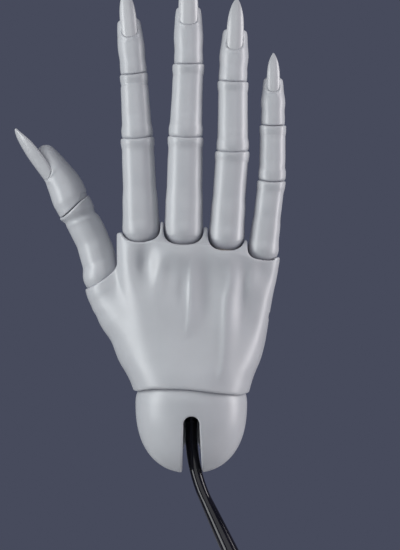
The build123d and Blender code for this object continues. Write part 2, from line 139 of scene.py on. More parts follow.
# The wrist ball's half width, half depth and reach below and above its centre, then the palm's cup.
BALL_X, BALL_Y, BALL_LOW, BALL_HIGH = 26.2, 19.5, 33.0, 19.5
CUP_X, CUP_Y, CUP_Z = 27.2, 20.1, 21.6
SEAM_X = (-30, -26.5, -22, -16, -6, 3, 10, 18, 23, 26, 30)  # along the palm's lower edge
SEAM_Z = (5.0, 5.3, 6.5, 7.4, 7.5, 6.8, 5.8, 4.6, 3.9, 4.2, 4.8)
BALL_BLUNT = 2.35  # fullness of the ball's lower half: 2 would be an ellipse
BALL_WALL, CHAMBER_HALF, CHAMBER_LOW_Z = 4.0, 10.0, -9.0
SLOT_X, SLOT_HALF = 0.15, 3.75
SLOT_BACK_Z, SLOT_PALM_Z, SLOT_INNER_Y = -5.1, -19.0, 11.0
CORD_SEAT = 5.0  # from a knuckle ball's surface to the face that its washer bears on
KNOT_DROP = 3.3  # from that face to the knot's centre
LOOP_GAP = 0.1  # between a loop and the pin or bar inside it
WRIST_CORD_R, BAR_R, BAR_Z, WRIST_LOOP_X = 1.75, 2.0, 34.0, 6.2
ROD_R, SHANK_R, SHANK_L = 2.8, 5.0, 25.8
ROD_STRAIGHT, ROD_BEND_R, ROD_BEND, ROD_BEND_SIDE, ROD_TAPER_L = 14.2, 54.6, 34.6, 46.3, 66.0
EYE_R, EYE_HALF, PIVOT_R = 5.2, 3.5, 2.0


# ---------------------------------------------------------------- placing
def move(x, y, z):
    m = np.eye(4)
    m[:3, 3] = (x, y, z)
    return m


def turn(axis, degrees):
    return np.array(Matrix.Rotation(radians(degrees), 4, axis))


def digit_frames(centre, roll, segments):
    """Each segment's resting frame: origin at its ball, +Z along it, -Y towards its back."""
    frames, point, bend = [], np.array(centre, float), 0
    for lean, own_bend, length, *_ in segments:
        bend += own_bend
        m = move(*point) @ turn("Y", lean) @ turn("Z", roll) @ turn("X", -bend)
        frames.append(m)
        point = at(m, 0, 0, length)
    return frames


def into(m, p):
    """Points in the coordinates of a frame."""
    return (p - m[:3, 3]) @ m[:3, :3]


def at(m, x, y, z):
    """A frame's own point, in the coordinates of the hand."""
    return (m @ (x, y, z, 1))[:3]


# ---------------------------------------------------------------- fields
def smin(a, b, k):
    h = np.maximum(k - np.abs(a - b), 0)
    return np.minimum(a, b) - h * h / (4 * k)


def smax(a, b, k):
    return -smin(-a, -b, k)


def curve(x, knots, values):
    """A smooth curve through points, with no overshoot (monotone cubic)."""
    xs, ys = np.array(knots, float), np.array(values, float)
    h = np.diff(xs)
    d = np.diff(ys) / h
    m = np.zeros(len(xs))
    same = d[1:] * d[:-1] > 0
    w1, w2 = 2 * h[1:] + h[:-1], h[1:] + 2 * h[:-1]
    with np.errstate(divide="ignore", invalid="ignore"):
        mean = (w1 + w2) / (w1 / d[:-1] + w2 / d[1:])
    m[1:-1] = np.where(same, mean, 0)
    m[0], m[-1] = d[0], d[-1]
    x = np.clip(x, xs[0], xs[-1])
    i = np.clip(np.searchsorted(xs, x) - 1, 0, len(h) - 1)
    t = (x - xs[i]) / h[i]
    return (
        ys[i] * (1 + 2 * t) * (1 - t) ** 2
        + m[i] * h[i] * t * (1 - t) ** 2
        + ys[i + 1] * t * t * (3 - 2 * t)
        + m[i + 1] * h[i] * t * t * (t - 1)
    )


def ramp(x, low, high):
    t = np.clip((x - low) / (high - low), 0, 1)
    return t * t * (3 - 2 * t)


def ball_field(p, r):
    return np.sqrt((p * p).sum(1)) - r


def oval_field(p, x, y, z):
    """An ellipsoid."""
    k = p / (x, y, z)
    k0 = np.sqrt((k * k).sum(1)) + 1e-9
    k1 = np.sqrt(((k / (x, y, z)) ** 2).sum(1)) + 1e-9
    return k0 * (k0 - 1) / k1


def bar_field(p, a, b, ra, rb):
    """A round bar between two points, with a radius at each."""
    a, b = np.array(a, float), np.array(b, float)
    d = b - a
    t = np.clip((p - a) @ d / (d @ d), 0, 1)
    q = p - a - t[:, None] * d
    return np.sqrt((q * q).sum(1)) - (ra + (rb - ra) * t)


def tube_field(p, rx, ry, power):
    """Inside an oval tube along Z. rx and ry may change from point to point."""
    u, v = np.abs(p[:, 0]) / rx, np.abs(p[:, 1]) / ry
    rho = (u**power + v**power) ** (1 / power)
    return (rho - 1) * np.minimum(rx, ry)


# ---------------------------------------------------------------- field to mesh
def samples(axes):
    x, y, z = np.meshgrid(*axes, indexing="ij")
    return np.stack([x.ravel(), y.ravel(), z.ravel()], 1)


def evaluate(field, p, chunk=400000):
    return np.concatenate([field(p[i : i + chunk]) for i in range(0, len(p), chunk)])


def pull_to_surface(field, v, step, rounds):
    e = 0.04
    for _ in range(rounds):
        f = evaluate(field, v)
        g = np.stack([evaluate(field, v + np.eye(3)[i] * e) - f for i in range(3)], 1) / e
        size = (g * g).sum(1)
        move_by = -f / np.maximum(size, 0.05)
        reach = np.abs(move_by) * np.sqrt(size)
        move_by *= np.minimum(1, step / np.maximum(reach, 1e-9))
        v = v + g * move_by[:, None]
    return v


def polygonise(field, low, high, h):
    """Quads on the field's zero surface, found on a grid that is only filled in near the surface."""
    low, high = np.array(low, float), np.array(high, float)
    blocks = np.ceil((high - low) / (4 * h)).astype(int)
    coarse_axes = [low[i] + (np.arange(blocks[i]) + 0.5) * 4 * h - h / 2 for i in range(3)]
    coarse = evaluate(field, samples(coarse_axes)).reshape(blocks)
    grid = np.repeat(np.repeat(np.repeat(coarse, 4, 0), 4, 1), 4, 2)
    axes = [low[i] + np.arange(blocks[i] * 4) * h for i in range(3)]
    near = np.abs(grid) < 4 * h * 1.5
    where = np.argwhere(near)
    grid[near] = evaluate(field, low + where * h)
    inside = grid < 0
    total = np.zeros([n - 1 for n in grid.shape] + [3])
    count = np.zeros([n - 1 for n in grid.shape])
    n = grid.shape
    base = np.stack(np.meshgrid(*axes, indexing="ij"), -1)
    crossings = []
    for axis in range(3):
        a = [slice(None)] * 3
        b = [slice(None)] * 3
        a[axis], b[axis] = slice(0, -1), slice(1, None)
        a, b = tuple(a), tuple(b)
        change = np.argwhere(inside[a] != inside[b])
        others = [i for i in range(3) if i != axis]
        keep = np.all([(change[:, i] > 0) & (change[:, i] < n[i] - 1) for i in others], axis=0)
        change = change[keep]
        i, j, k = change.T
        step = np.zeros(3, int)
        step[axis] = 1
        f0 = grid[i, j, k]
        f1 = grid[i + step[0], j + step[1], k + step[2]]
        t = f0 / (f0 - f1)
        point = base[i, j, k].copy()
        point[:, axis] += t * h
        for da in (0, -1):
            for db in (0, -1):
                cell = change.copy()
                cell[:, others[0]] += da
                cell[:, others[1]] += db
                np.add.at(total, tuple(cell.T), point)
                np.add.at(count, tuple(cell.T), 1)
        crossings.append((axis, others, change, f0 < 0))
    active = count > 0
    number = np.full(active.shape, -1)
    number[active] = np.arange(active.sum())
    verts = total[active] / count[active][:, None]
    quads = []
    for axis, others, change, start_inside in crossings:
        corners = []
        for da, db in ((-1, -1), (0, -1), (0, 0), (-1, 0)):
            cell = change.copy()
            cell[:, others[0]] += da
            cell[:, others[1]] += db
            corners.append(number[tuple(cell.T)])
        quad = np.stack(corners, 1)
        flip = start_inside if axis != 1 else ~start_inside
        quad[~flip] = quad[~flip][:, ::-1]
        quads.append(quad)
    return verts, np.concatenate(quads)


def relax(v, quads, amount):
    """Moves each vertex towards the mean of its neighbours."""
    pairs = np.concatenate([quads[:, [i, (i + 1) % 4]] for i in range(4)])
    total = np.zeros_like(v)
    count = np.zeros(len(v))
    for a, b in ((0, 1), (1, 0)):
        np.add.at(total, pairs[:, a], v[pairs[:, b]])
        np.add.at(count, pairs[:, a], 1)
    return v + amount * (total / np.maximum(count, 1)[:, None] - v)


def make_object(name, verts_mm, faces, material, slot):
    mesh = bpy.data.meshes.new(name)
    verts = (verts_mm + WRIST) / 1000
    mesh.from_pydata(verts.tolist(), [], faces.tolist() if hasattr(faces, "tolist") else faces)
    mesh.polygons.foreach_set("use_smooth", [True] * len(mesh.polygons))
    mesh.update()
    mesh.materials.append(material)
    obj = bpy.data.objects.new(name, mesh)
    bpy.context.scene.collection.objects.link(obj)
    return obj


def solid(name, field, low, high, h, place, material, slot, body, replaced):
    """A mesh of a field, in its own frame, riding on a body in place of a CAD node."""
    verts, quads = polygonise(field, low, high, h)
    verts = pull_to_surface(field, verts, h, 2)
    verts = relax(verts, quads, 0.5)
    verts = pull_to_surface(field, verts, h / 2, 2)
    verts = verts @ place[:3, :3].T + place[:3, 3]
    obj = make_object(name, verts, quads, material, slot)
    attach(obj, body)
    if replaced:
        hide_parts(replaced)
    return obj


# ---------------------------------------------------------------- materials
def shader(name, **values):
    """A material with its Principled sockets set, and its node tree to build on."""
    material = bpy.data.materials.new(name)
    material.use_nodes = True
    nodes, links = material.node_tree.nodes, material.node_tree.links
    principled = nodes["Principled BSDF"]
    for socket, value in values.items():
        principled.inputs[socket.replace("_", " ")].default_value = value
    return material, nodes, links, principled


def noise(nodes, links, scale, detail=3.0, roughness=0.5):
    """A noise texture in the object's own coordinates."""
    where = nodes.new("ShaderNodeTexCoord")
    texture = nodes.new("ShaderNodeTexNoise")
    texture.inputs["Scale"].default_value = scale
    texture.inputs["Detail"].default_value = detail
    texture.inputs["Roughness"].default_value = roughness
    links.new(where.outputs["Object"], texture.inputs["Vector"])
    return texture


def graded(nodes, links, source, stops):
    """A colour ramp fed by a value."""
    ramp_node = nodes.new("ShaderNodeValToRGB")
    elements = ramp_node.color_ramp.elements
    elements[0].position, elements[0].color = stops[0]
    elements[1].position, elements[1].color = stops[-1]
    for position, colour in stops[1:-1]:
        elements.new(position).color = colour
    links.new(source, ramp_node.inputs["Fac"])
    return ramp_node


def grey(value):
    return (value, value, value, 1)


def resin(name, tint, rough_low, rough_high, coat, inner_light):
    """Cast resin: a faint mottle, satin skin with tiny casting ripples, and painted shade, a bluish-purple
    darkening multiplied into the colour in the hollows.
    """
    material, nodes, links, principled = shader(
        name,
        Specular_IOR_Level=0.5,
        Subsurface_Weight=inner_light,
        Subsurface_Scale=0.0016,
        Coat_Weight=coat,
        Coat_Roughness=0.3,
    )
    principled.inputs["Subsurface Radius"].default_value = (1.0, 0.85, 0.8)
    mottle = noise(nodes, links, 55, 4)
    dark = tuple(c * 0.965 for c in tint) + (1,)
    light = tuple(min(1, c * 1.02) for c in tint) + (1,)
    base = graded(nodes, links, mottle.outputs["Fac"], [(0.35, dark), (0.65, light)])
    # Painted shade: ambient occlusion darkens the base colour towards a bluish purple in hollows, creases and
    # the gaps at the joints.
    occlusion = nodes.new("ShaderNodeAmbientOcclusion")
    occlusion.samples = 8
    occlusion.inputs["Distance"].default_value = 0.006
    painted_hollow_shade = graded(nodes, links, occlusion.outputs["AO"], [(0.2, (0.60, 0.58, 0.70, 1)), (0.75, grey(1.0))])
    mix = nodes.new("ShaderNodeMix")
    mix.data_type, mix.blend_type = "RGBA", "MULTIPLY"
    mix.inputs["Factor"].default_value = 0.4
    links.new(base.outputs["Color"], mix.inputs[6])
    links.new(painted_hollow_shade.outputs["Color"], mix.inputs[7])
    links.new(mix.outputs[2], principled.inputs["Base Color"])
    wear = noise(nodes, links, 140, 5, 0.6)
    rough = graded(nodes, links, wear.outputs["Fac"], [(0.3, grey(rough_low)), (0.7, grey(rough_high))])
    links.new(rough.outputs["Color"], principled.inputs["Roughness"])
    ripple = noise(nodes, links, 420, 2)
    bump = nodes.new("ShaderNodeBump")
    bump.inputs["Strength"].default_value = 0.06
    bump.inputs["Distance"].default_value = 0.0002
    links.new(ripple.outputs["Fac"], bump.inputs["Height"])
    links.new(bump.outputs["Normal"], principled.inputs["Normal"])
    return material


def lacquer(name):
    """Black gloss lacquer with faint long ripples and a few duller patches."""
    material, nodes, links, principled = shader(
        name, Specular_IOR_Level=0.3, Coat_Weight=0.16, Coat_Roughness=0.03
    )
    patch = noise(nodes, links, 90, 3)
    stops = [(0.3, (0.004, 0.004, 0.007, 1)), (0.7, (0.010, 0.009, 0.014, 1))]
    colour = graded(nodes, links, patch.outputs["Fac"], stops)
    links.new(colour.outputs["Color"], principled.inputs["Base Color"])
    rough = graded(nodes, links, patch.outputs["Fac"], [(0.3, grey(0.06)), (0.8, grey(0.11))])
    links.new(rough.outputs["Color"], principled.inputs["Roughness"])
    ripple = noise(nodes, links, 160, 1)
    bump = nodes.new("ShaderNodeBump")
    bump.inputs["Strength"].default_value = 0.02
    bump.inputs["Distance"].default_value = 0.0002
    links.new(ripple.outputs["Fac"], bump.inputs["Height"])
    links.new(bump.outputs["Normal"], principled.inputs["Normal"])
    return material


def steel():
    """Bright turned steel with fine circular tool marks."""
    material, nodes, links, principled = shader("steel", Metallic=1.0, Anisotropic=0.4)
    grain = noise(nodes, links, 900, 2, 0.7)
    stops = [(0.3, (0.50, 0.50, 0.52, 1)), (0.7, (0.68, 0.68, 0.69, 1))]
    colour = graded(nodes, links, grain.outputs["Fac"], stops)
    links.new(colour.outputs["Color"], principled.inputs["Base Color"])
    rough = graded(nodes, links, grain.outputs["Fac"], [(0.3, grey(0.22)), (0.7, grey(0.38))])
    links.new(rough.outputs["Color"], principled.inputs["Roughness"])
    return material


def woven(name, light, dark, scale):
    """A thin woven or suede surface: small cells with darker gaps."""
    material, nodes, links, principled = shader(name, Sheen_Weight=0.3, Specular_IOR_Level=0.2)
    where = nodes.new("ShaderNodeTexCoord")
    cells = nodes.new("ShaderNodeTexVoronoi")
    cells.inputs["Scale"].default_value = scale
    links.new(where.outputs["Object"], cells.inputs["Vector"])
    colour = graded(nodes, links, cells.outputs["Distance"], [(0.1, light), (0.7, dark)])
    links.new(colour.outputs["Color"], principled.inputs["Base Color"])
    rough = graded(nodes, links, cells.outputs["Distance"], [(0.0, grey(0.75)), (0.8, grey(0.95))])
    links.new(rough.outputs["Color"], principled.inputs["Roughness"])
    bump = nodes.new("ShaderNodeBump")
    bump.invert = True
    bump.inputs["Strength"].default_value = 0.4
    bump.inputs["Distance"].default_value = 0.0002
    links.new(cells.outputs["Distance"], bump.inputs["Height"])
    links.new(bump.outputs["Normal"], principled.inputs["Normal"])
    return material


RESIN = resin("resin", (0.575, 0.585, 0.60), 0.34, 0.42, 0.35, 0.12)
NAIL = resin("nail_resin", (0.59, 0.595, 0.605), 0.26, 0.33, 0.4, 0.0)
ROD = lacquer("rod_lacquer")
STEEL = steel()
ELASTIC = woven("elastic_cover", (0.62, 0.60, 0.56, 1), (0.40, 0.38, 0.36, 1), 1500)
SUEDE = woven("suede", (0.45, 0.40, 0.34, 1), (0.27, 0.23, 0.19, 1), 2600)


# ---------------------------------------------------------------- finger segments
def rim_height(q, half, shape):
    """Height of a cup's rim in the frame of the ball above: a saddle, sloping off at the palm side."""
    slope, tilt = shape
    x, y = q[:, 0], q[:, 1]
    dip = 0.5 if tilt else 1.0
    saddle = -RIM_DROP - 0.35 - 0.55 * dip + 1.7 * dip * np.clip((x / half) ** 2, 0, 1.2)
    return saddle - np.maximum(y - 0.5, 0) * tan(radians(slope)) + y * tan(radians(tilt))


def foot_field(p, notch, below, shape):
    """The oval stem cut off at its foot. below is the cup's half width, or None at a knuckle."""
    y = p[:, 1]
    slope = tan(radians(notch)) * y
    if below is None:
        return np.where(y > 0, slope, np.maximum(0.5 * y, -3.0)) - p[:, 2]
    tilted = p if shape[1] else p * (1, 0, 1)
    foot = rim_height(tilted, below, (0, shape[1])) + SEAM
    steep = foot + 1.7 * np.maximum(y, 0)
    bound = np.where(y > 0, np.maximum(np.minimum(steep, np.maximum(slope, foot)), foot), foot)
    return bound - p[:, 2]


def with_ball(f, p, segment):
    """Joins the ball to a stem and opens the cord's way through it."""
    ball = segment[3]
    f = smin(f, ball_field(p, ball), 0.5)
    x, y, z = p.T
    slot_cut = smax(np.abs(x) - CHANNEL_R, smax(-y, z, 0.5), 0.5)
    f = smax(f, -slot_cut, 0.5)
    mouth = np.hypot(x, y) - (CHANNEL_R + 1.2 * np.clip(-z / ball, 0, 1))
    return smax(f, -smax(mouth, z - 1, 0.3), 0.5)


def link_field(segment, following, relative, notch, below, shape, bow):
    """A segment with a ball at its foot and a cup at its head, waisted between a lip and a collar."""
    _, _, length, ball, base, middle, end = segment
    rim = length - RIM_DROP
    if below is None:
        knots = (-3, 0.2 * ball, 0.8 * ball, 1.5 * ball, 0.45 * length, 0.7 * length)
        bulb = (0.97 * base, base, 0.97 * base, 0.55 * base + 0.45 * middle)
    else:
        knots = (-3, -0.5, 1.4, 4.4, 0.3 * length, 0.5 * length, 0.72 * length)
        bulb = (0.975 * base, base, base + 0.08, base - 0.35, 0.25 * base + 0.75 * middle)
    collar, lip, neck = THUMB_LIP if shape is THUMB_RIM else FINGER_LIP
    low_dip = 1.75 * ball if below is None else 1.15 * ball
    dip_knots = (0, 0.55 * low_dip, low_dip, 0.55 * length, rim - 6.5, rim - 1.4, rim)
    knots = (*knots, rim - neck, rim - lip, rim)
    widths = (*bulb, middle, 0.6 * middle + 0.4 * end - 0.15, end - collar, end - 0.02, end)
    gap_r = following[3] + JOINT_GAP

    def field(p):
        z = p[:, 2]
        r = curve(z, knots, widths)
        stem = p - np.stack([z * 0, curve(z, BOW_KNOTS, BOW), z * 0], 1) if bow else p
        f = tube_field(stem, r, r * DEPTH_RATIO * curve(z, dip_knots, DIPS), 2.15)
        f = smax(f, foot_field(p, notch, below, shape), 1.1)
        f = smax(f, z - length - 6, 0.5)
        f = with_ball(f, p, segment)
        q = into(relative, p)
        f = smax(f, q[:, 2] - rim_height(q, end, shape), 1.1)
        f = smax(f, -ball_field(q, gap_r), 0.35)
        bore = np.hypot(p[:, 0], p[:, 1]) - CHANNEL_R
        return smax(f, -smax(bore, -z, 0.3), 0.4)

    return field


def nail_half_width(t, length, width):
    """Half width of a nail: rounded cuticle, long even sides, pointed end."""
    u = np.clip(t / length, 0, 1)
    w = width * (0.9 + 0.1 * ramp(u, 0, 0.4)) * np.maximum(1 - u**4.5, 0)
    return w * np.sqrt(np.clip(1 - (1 - np.clip(t / 3.4, 0, 1)) ** 2, 0, 1))


def nail_shape(p, digit_nail, end):
    """Signed distances for a nail: outside its arched top, outside its underside, beyond its outline."""
    start, length, width = digit_nail
    t = p[:, 2] - start
    if digit_nail == THUMB_NAIL:
        top = curve(t, THUMB_NAIL_KNOTS, THUMB_NAIL_TOP)
    else:
        top = -0.93 * end - 0.10 * t + radians(20) / length / 2 * t * np.abs(t)
    r = 1.25 * width * (1 - 0.25 * ramp(t, 0.4 * length, length))
    thick = NAIL_T * (1 - 0.2 * ramp(t, 0.3 * length, length))
    below_top = p[:, 1] - top
    over = np.hypot(p[:, 0], below_top - r) - r
    under = np.hypot(p[:, 0], below_top - r - thick) - r
    side = np.abs(p[:, 0]) - nail_half_width(t, length, width)
    ends = smax(-t, t - length, 0.3)
    outline = smax(smax(side * 0.9, ends, 0.4), below_top - 1.1 * width, 0.3)
    return over, under, outline


def nail_field(digit_nail, end):
    def field(p):
        over, under, outline = nail_shape(p, digit_nail, end)
        return smax(smax(over, -under, 0.35), outline, 0.15)

    return field


def tip_field(segment, digit_nail, notch, below, shape):
    """The padded fingertip, with the bed that its nail lies in."""
    _, _, length, ball, base, middle, end = segment
    thumb = shape is THUMB_RIM
    tip_r = (0.78 if thumb else 0.55) * end
    length += 0 if thumb else TIP_OVERRUN
    knots = (-3, -0.5, 1.4, 4.4, 0.36 * length, 0.60 * length, 0.82 * length, length - tip_r)
    widths = (0.975 * base, base, base + 0.03, base - 0.12, middle, end, 0.9 * end, 1.0 * tip_r)
    if thumb:
        knots = (-3, -0.5, 1.4, 4.4, 8.7, 14, 18, 22.5, length - tip_r)
        widths = (8.3, base + 0.2, base + 0.35, base + 0.25, 8.0, 7.1, 6.35, 5.5, tip_r)
    depths = (0.96, 0.96, 0.93, 0.9, 0.88, 0.92)
    depth_knots = (-3, 0.2 * length, 0.4 * length, 0.6 * length, 0.8 * length, length)
    sink_knots = (0, 0.3 * length, 0.62 * length, 0.84 * length, length)
    sink = (0, 0.9, 0.5, -0.2, -0.5) if thumb else (0, 0.1, 0.4, 0.7, 1.0)

    def field(p):
        z = p[:, 2]
        r = curve(z, knots, widths)
        middle_y = curve(z, sink_knots, sink)
        q = p - np.stack([z * 0, middle_y, z * 0], 1)
        ratio = 1.0 if thumb else curve(z, depth_knots, depths)
        f = tube_field(q, r, r * ratio, 2.05)
        f = smax(f, z - length + tip_r, 0.8)
        f = smin(f, ball_field(p - (0, sink[3], length - tip_r), tip_r), 1.5)
        f = smax(f, foot_field(p, notch, below, shape), 0.7)
        _, under, outline = nail_shape(p, digit_nail, end)
        t = z - digit_nail[0]
        fold = np.exp(-((outline - 1.0) / 0.9) ** 2) * 0.3 * ramp(-t, -9, 3)
        f = f - np.where(p[:, 1] < 0, fold, 0)
        bed_cut = smax(outline + 0.05, 0.2 - under, 0.15)
        f = smax(f, -bed_cut, 0.05)
        f = with_ball(f, p, segment)
        bore = np.hypot(p[:, 0], p[:, 1]) - CHANNEL_R
        f = smax(f, -smax(smax(bore, -z, 0.3), z - ANCHOR_Z, 0.3), 0.4)
        pocket = smax(np.hypot(p[:, 1], z - ANCHOR_Z) - 3.9, np.abs(p[:, 0]) - 1.1 * CORD_R, 0.2)
        return smax(f, -pocket, 0.3)

    return field


# ---------------------------------------------------------------- palm
def bump_at(p, x, z, half_x, half_z, amount):
    return amount * np.exp(-(((p[:, 0] - x) / half_x) ** 2) - ((p[:, 2] - z) / half_z) ** 2)


def ridge_along(p, points, left, right, amount):
    """A raised line along a tendon, through (x, z, strength) points, with its own slope on each side."""
    zs = [point[1] for point in points]
    offset = p[:, 0] - curve(p[:, 2], zs, [point[0] for point in points])
    strength = curve(p[:, 2], zs, [point[2] for point in points])
    return amount * strength * np.exp(-((offset / np.where(offset < 0, left, right)) ** 2))


# From the washer pockets of the thumb, index and little finger to the hollow in the middle.
PASSAGES = (
    ((-34.2, 8.9, 38.0), (-10.0, 3.0, 36.0)),
    ((-22.9, 0.8, 61.5), (-9.0, 0.8, 51.0)),
    ((31.6, 0.8, 54.5), (11.0, 0.8, 46.0)),
)
PALM_KNOTS = (2.0, 6.0, 12.5, 21.0, 32.0, 44.0, 57.0, 70.0, 86.0)
PALM_HALF = (26.3, 27.3, 29.2, 32.2, 34.6, 36.1, 37.3, 38.4, 38.6)
PALM_DEPTH = (20.6, 20.9, 20.4, 18.8, 16.6, 14.6, 12.8, 11.3, 10.3)
PALM_POWER = (2.05, 2.05, 2.05, 2.08, 2.1, 2.12, 2.15, 2.3, 2.5)
PALM_X = (0.2, 0.1, -0.1, 0.0, 0.2, 1.0, 2.3, 3.4, 3.5)
PALM_Y = (0.0, 0.1, 0.3, 0.8, 1.2, 1.2, 1.0, 0.8, 0.6)
# Tendons on the back: (x, z, strength) points from wrist to knuckle, the reach to each side, the height.
TENDONS = (
    (((-17, 20, 0), (-21, 34, 0.4), (-25, 50, 0.8), (-28.5, 66, 0.9), (-29, 78, 0.3)),
        5.5, 5.5, 0.4),
    (((-12, 24, 0), (-14.5, 40, 0.6), (-15.8, 52, 0.9), (-14.6, 62, 1), (-11, 72, 0.4), (-8, 80, 0)),
        3.6, 4.0, 0.4),
    (((-2.5, 30, 0), (-1, 39, 0.9), (-0.4, 50, 1), (0.0, 60, 0.8), (0.6, 68, 0)),
        1.3, 3.5, 0.7),
    (((13, 9, 0), (15, 20, 0.8), (15.8, 33, 1), (16.6, 48, 1), (18.6, 58, 0.7), (19, 66, 0.3), (18, 74, 0)),
        2.0, 4.6, 1.1),
    (((24, 30, 0), (25.4, 42, 0.3), (26.8, 54, 1), (28, 62, 0.4), (31, 72, 0.1)),
        1.6, 3.0, 0.5),
)
# Swellings and, with a minus, hollows on the back: x, z, reach across, reach along, height.
BACK_BUMPS = (
    (-4.5, 69.5, 9.0, 5.5, 1.3),
    (13.5, 68.5, 7.0, 5.5, 1.2),
    (-20.4, 65.5, 4.8, 9.5, -2.1),
    (-10.2, 60.5, 3.8, 7.5, -0.8),
    (-4.2, 54.0, 3.0, 9.0, -0.9),
    (8.0, 52.0, 5.5, 17.0, -2.0),
    (0.5, 28.0, 7.0, 11.0, -0.6),
    (24.0, 46.0, 5.5, 13.0, -1.4),
    (24.0, 60.0, 3.6, 8.0, -0.8),
    (32.0, 61.5, 4.5, 6.0, -0.7),
)
FINGER_PADS = ((-23.5, 68.5), (-3.6, 67.6), (16.5, 65.3), (33, 59))
# The thumb's mound, from below its cup to the wrist: points and radii.
MOUND = (((-32.6, 9, 42), 11.2), ((-21.5, 7.2, 25.5), 12.6), ((-13, 4, 12), 11.5))


def palm_field(frames):
    """The palm: oval body, thumb mound, tendons on the back, pads on the palm side, cups and rim."""
    thumb = frames["thumb"][0]
    thumb_segment = DIGITS[4][3][0]

    def field(p):
        x, y, z = p.T
        half, depth = curve(z, PALM_KNOTS, PALM_HALF), curve(z, PALM_KNOTS, PALM_DEPTH)
        power = curve(z, PALM_KNOTS, PALM_POWER)
        middle_x, middle_y = curve(z, PALM_KNOTS, PALM_X), curve(z, PALM_KNOTS, PALM_Y)
        q = np.stack([x - middle_x, y - middle_y, z], 1)
        f = tube_field(q, half, depth, power)
        back = ramp(-y, -1.0, 6.0)
        relief = sum(ridge_along(p, *tendon) for tendon in TENDONS)
        relief = relief + sum(bump_at(p, *bump) for bump in BACK_BUMPS)
        f = f - relief * back
        front = ramp(y, -1.0, 6.0)
        pads = (
            bump_at(p, 25.0, 30.0, 10.0, 20.0, 2.0)
            - bump_at(p, 2.0, 42.0, 13.0, 15.0, 2.4)
            + sum(bump_at(p, pad_x, pad_z, 7.5, 5.0, 0.9) for pad_x, pad_z in FINGER_PADS)
        )
        crease = 0.8 * np.exp(-(((z - 60 + 0.006 * (x + 20) ** 2) / 1.3) ** 2)) * ramp(x, -24, -14)
        f = f - (pads - crease) * front
        mound = bar_field(p, at(thumb, 0, 0, -8), MOUND[0][0], thumb_segment[3] + 0.6, MOUND[0][1])
        for (start, start_r), (stop, stop_r) in zip(MOUND, MOUND[1:]):
            mound = smin(mound, bar_field(p, start, stop, start_r, stop_r), 4)
        near_thumb = into(thumb, p)
        collar = tube_field(near_thumb, np.full(len(p), 9.3), np.full(len(p), 9.3), 2)
        collar = smax(collar, -near_thumb[:, 2] - 15, 3)
        mound = smin(mound, collar, 3)
        rim = near_thumb[:, 2] + RIM_DROP + 0.2 - 0.6 * np.clip((near_thumb[:, 0] / 9) ** 2, 0, 1.2)
        mound = smax(mound, rim, 0.8)
        clear = np.hypot(near_thumb[:, 0], near_thumb[:, 1]) - 9.8
        f = smax(f, -smax(clear, -near_thumb[:, 2] - RIM_DROP, 1.0), 1.2)
        f = smin(f, mound, 5.0)
        edge, back_edge = curve(x, EDGE_X, EDGE_Z), curve(x, EDGE_X, BACK_EDGE_Z)
        f = smax(f, z - back_edge - (edge - back_edge) * ramp(y, -9.0, -3.0), 1.6)
        for name, centre, _, segments, *_ in DIGITS[:4]:
            ball = segments[0][3]
            u, drop = np.abs(x - centre[0]) / (ball + 0.3), KNUCKLE_DROP[name]
            v = np.maximum(centre[2] + 1.0 - z, 0) / (drop + 1.0)
            scallop = ((u**2.6 + v**2.6) ** (1 / 2.6) - 1) * drop
            f = smax(f, -scallop, 0.9)
        for name, _, _, segments, *_ in DIGITS:
            q = into(frames[name][0], p)
            ball = segments[0][3]
            f = smax(f, -ball_field(q, ball + JOINT_GAP), 0.5)
            seat = smax(ball_field(q, ball + 1.1), q[:, 2] + 0.62 * np.hypot(q[:, 0], q[:, 1]), 0.2)
            f = smax(f, -seat, 0.2)
            bore = np.hypot(q[:, 0], q[:, 1])
            deep = ball + CORD_SEAT
            f = smax(f, -smax(smax(bore - CHANNEL_R, q[:, 2], 0.2), -q[:, 2] - deep - 1, 0.2), 0.2)
            pocket = 14 if name == "thumb" else 9
            f = smax(f, -smax(smax(bore - 4.5, q[:, 2] + deep, 0.2), -q[:, 2] - deep - pocket, 0.2), 0.2)
        hollow = tube_field(p - (0.5, 0.8, 0), np.full(len(p), 14.0), np.full(len(p), 8.0), 2.5)
        f = smax(f, -smax(smax(hollow, z - 58, 1), 24 - z, 1), 1)
        for start, stop in PASSAGES:
            f = smax(f, -bar_field(p, start, stop, 4.0, 4.0), 0.5)
        f = smax(f, -smax(smax(np.hypot(x, y) - 9.5, z - 27, 0.5), 12 - z, 0.5), 0.8)
        f = smax(f, curve(x, SEAM_X, SEAM_Z) - z, 1.4)
        return smax(f, -oval_field(p, CUP_X, CUP_Y, CUP_Z), 0.5)

    return field


